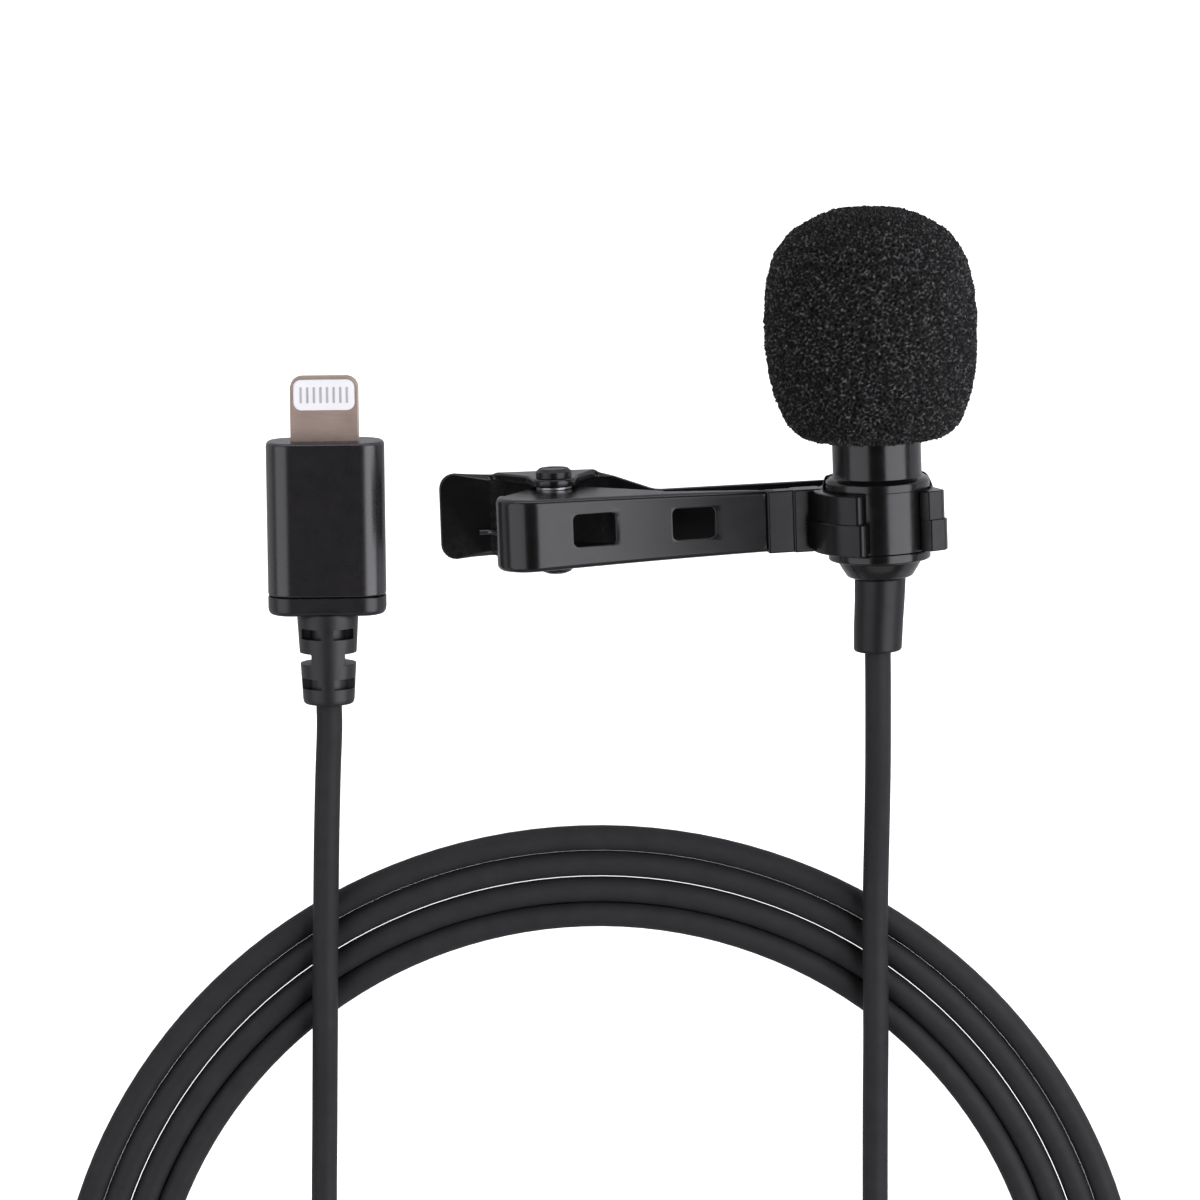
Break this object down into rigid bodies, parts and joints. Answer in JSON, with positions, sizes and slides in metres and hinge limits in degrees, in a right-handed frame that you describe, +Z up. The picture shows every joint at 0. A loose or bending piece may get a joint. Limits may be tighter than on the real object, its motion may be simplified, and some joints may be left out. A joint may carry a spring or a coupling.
{
  "type": "lavalier microphone",
  "caption": "Small clip-on microphone with a foam windscreen, a swivelling spring clip, a flat reversible plug and a thin cable wound in a flat coil.",
  "frame": {"origin": "middle of the microphone and clip, without the cable, on the table they lie on", "axes": "+X from the finger tabs to the barrel, +Y along the barrel towards the windscreen, +Z up from the table"},
  "size_m": [0.1094, 0.1708, 0.0205],
  "materials": {
    "foam": "open-cell foam",
    "black_metal": "satin black anodised",
    "cloth": "fine acoustic cloth",
    "bright_metal": "bright",
    "board": "solder mask",
    "chip": "moulded",
    "pale_plastic": "moulded",
    "gold_metal": "plated",
    "soft_rubber": "matte",
    "wire_cover": "insulation",
    "black_steel": "satin black",
    "black_plastic": "moulded",
    "bright_steel": "plain",
    "tongue_metal": "satin plated",
    "contact_metal": "plated",
    "shell_metal": "satin black anodised",
    "cable_cover": "matte jacket",
    "strap": "hook and loop"
  },
  "bodies": {
    "microphone": {"mic_barrel": "black_metal", "head_grille": "black_metal", "grille_cloth": "cloth", "capsule_can": "bright_metal", "capsule_board": "board", "transistor": "chip", "plate_holder": "pale_plastic", "back_plate": "gold_metal", "diaphragm": "gold_metal", "capsule_boot": "soft_rubber", "signal_wires": "wire_cover", "cable_ferrule": "bright_metal", "end_cap": "black_metal", "mic_sleeve": "soft_rubber", "tongue_frame": "tongue_metal", "contact_carrier": "pale_plastic", "contacts": "contact_metal", "plug_board": "board", "board_chips": "chip", "plug_wires": "wire_cover", "plug_shell": "shell_metal", "plug_end_cap": "black_plastic", "plug_sleeve": "soft_rubber", "mic_lead": "cable_cover", "cable_coil": "cable_cover", "plug_lead": "cable_cover", "coil_strap": "strap"},
    "clip": {"front_arm": "black_steel", "mic_holder": "black_plastic", "holder_screw": "bright_steel", "pivot_washers": "bright_steel", "pivot_screw": "black_steel", "pivot_nut": "black_steel", "torsion_spring": "bright_steel"},
    "rear_jaw": {"rear_arm": "black_steel"},
    "foam_cover": {"windscreen": "foam"}
  },
  "joints": [
    {"name": "clip_swivel", "type": "hinge", "parent": "microphone", "child": "clip", "pos_m": [0.01625, -0.0085, 0.0103], "axis": [0, 1, 0], "continuous": true},
    {"name": "jaw_pivot", "type": "hinge", "parent": "clip", "child": "rear_jaw", "pos_m": [-0.01515, -0.0085, 0.0055], "axis": [0, 1, 0], "range_deg": [0, 18], "stiffness_Nm_per_rad": 0.08, "springref_deg": -28.65, "deforming": ["torsion_spring"]},
    {"name": "windscreen_pull", "type": "slide", "parent": "microphone", "child": "foam_cover", "axis": [0, 1, 0], "range_m": [0, 0.012]}
  ]
}
